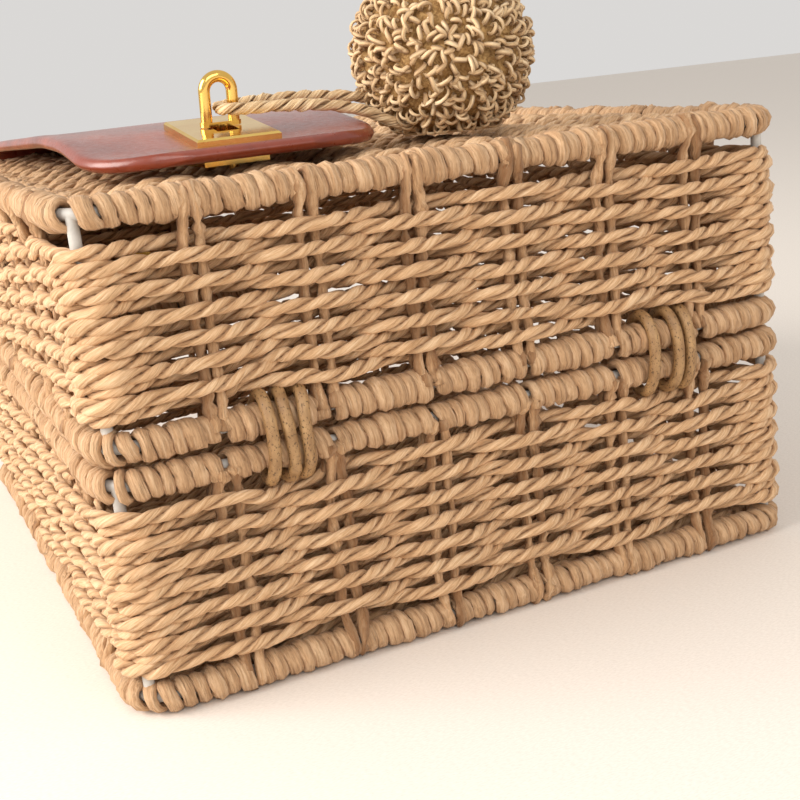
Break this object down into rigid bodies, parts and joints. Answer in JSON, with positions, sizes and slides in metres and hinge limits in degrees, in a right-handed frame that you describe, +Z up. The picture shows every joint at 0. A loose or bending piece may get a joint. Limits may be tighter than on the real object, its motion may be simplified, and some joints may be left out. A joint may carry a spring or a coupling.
{
  "type": "basket box bag",
  "caption": "Rectangular woven paper-cord box bag in two halves, with corded hinges, a leather strap with a turn lock, and a raffia pompom.",
  "frame": {"origin": "middle of the footprint, on the surface that the bottom rim stands on", "axes": "+X along the length, to the right as seen from the hinge lashings; +Y along the depth, away from the hinge lashings; +Z up through the lid"},
  "size_m": [0.19, 0.2279, 0.1625],
  "materials": {
    "kraft_cord": "matte twisted paper cord",
    "kraft_wrap": "matte crumpled paper ribbon",
    "kraft_strand": "matte crumpled paper strand",
    "coated_wire": "dull grey-white coated iron wire",
    "waxed_cord": "waxed speckled cord",
    "strap_leather": "glossy reddish-brown leather",
    "gold_metal": "bright gold plating",
    "raffia": "pale matte straw raffia"
  },
  "bodies": {
    "base": {"base_wire_frame": "coated_wire", "base_bottom_rim": "kraft_wrap", "base_seam_rim": "kraft_wrap", "base_side_stakes": "kraft_strand", "base_side_weave": "kraft_cord", "base_bottom_stakes": "kraft_strand", "base_bottom_weave": "kraft_cord"},
    "hinge_cords": {"hinge_cord_left": "waxed_cord", "hinge_cord_right": "waxed_cord"},
    "lid": {"lid_wire_frame": "coated_wire", "lid_seam_rim": "kraft_wrap", "lid_top_rim": "kraft_wrap", "lid_side_stakes": "kraft_strand", "lid_side_weave": "kraft_cord", "lid_top_stakes": "kraft_strand", "lid_top_weave": "kraft_cord", "strap": "strap_leather", "strap_rivets": "gold_metal", "strap_washers": "gold_metal", "lock_plate": "gold_metal", "lock_plate_backing": "gold_metal", "lock_base": "gold_metal", "lock_back_plate": "gold_metal", "pompom": "raffia", "pompom_cord": "raffia"},
    "lock": {"lock_staple": "gold_metal"}
  },
  "joints": [
    {"name": "cord_hinge", "type": "hinge", "parent": "base", "child": "hinge_cords", "pos_m": [0, -0.10585, 0.0547], "axis": [1, 0, 0], "range_deg": [0, 67.5]},
    {"name": "lid_hinge", "type": "hinge", "parent": "hinge_cords", "child": "lid", "pos_m": [0, -0.10585, 0.0633], "axis": [1, 0, 0], "range_deg": [0, 67.5]},
    {"name": "lock_turn", "type": "hinge", "parent": "lid", "child": "lock", "pos_m": [-0.0445, -0.07, 0.12465], "axis": [0, -0.1483, 0.9889], "range_deg": [0, 90], "deforming": ["pompom_cord"]}
  ],
  "couplings": [
    {"joint": "cord_hinge", "follows": "lid_hinge", "ratio": 1}
  ]
}
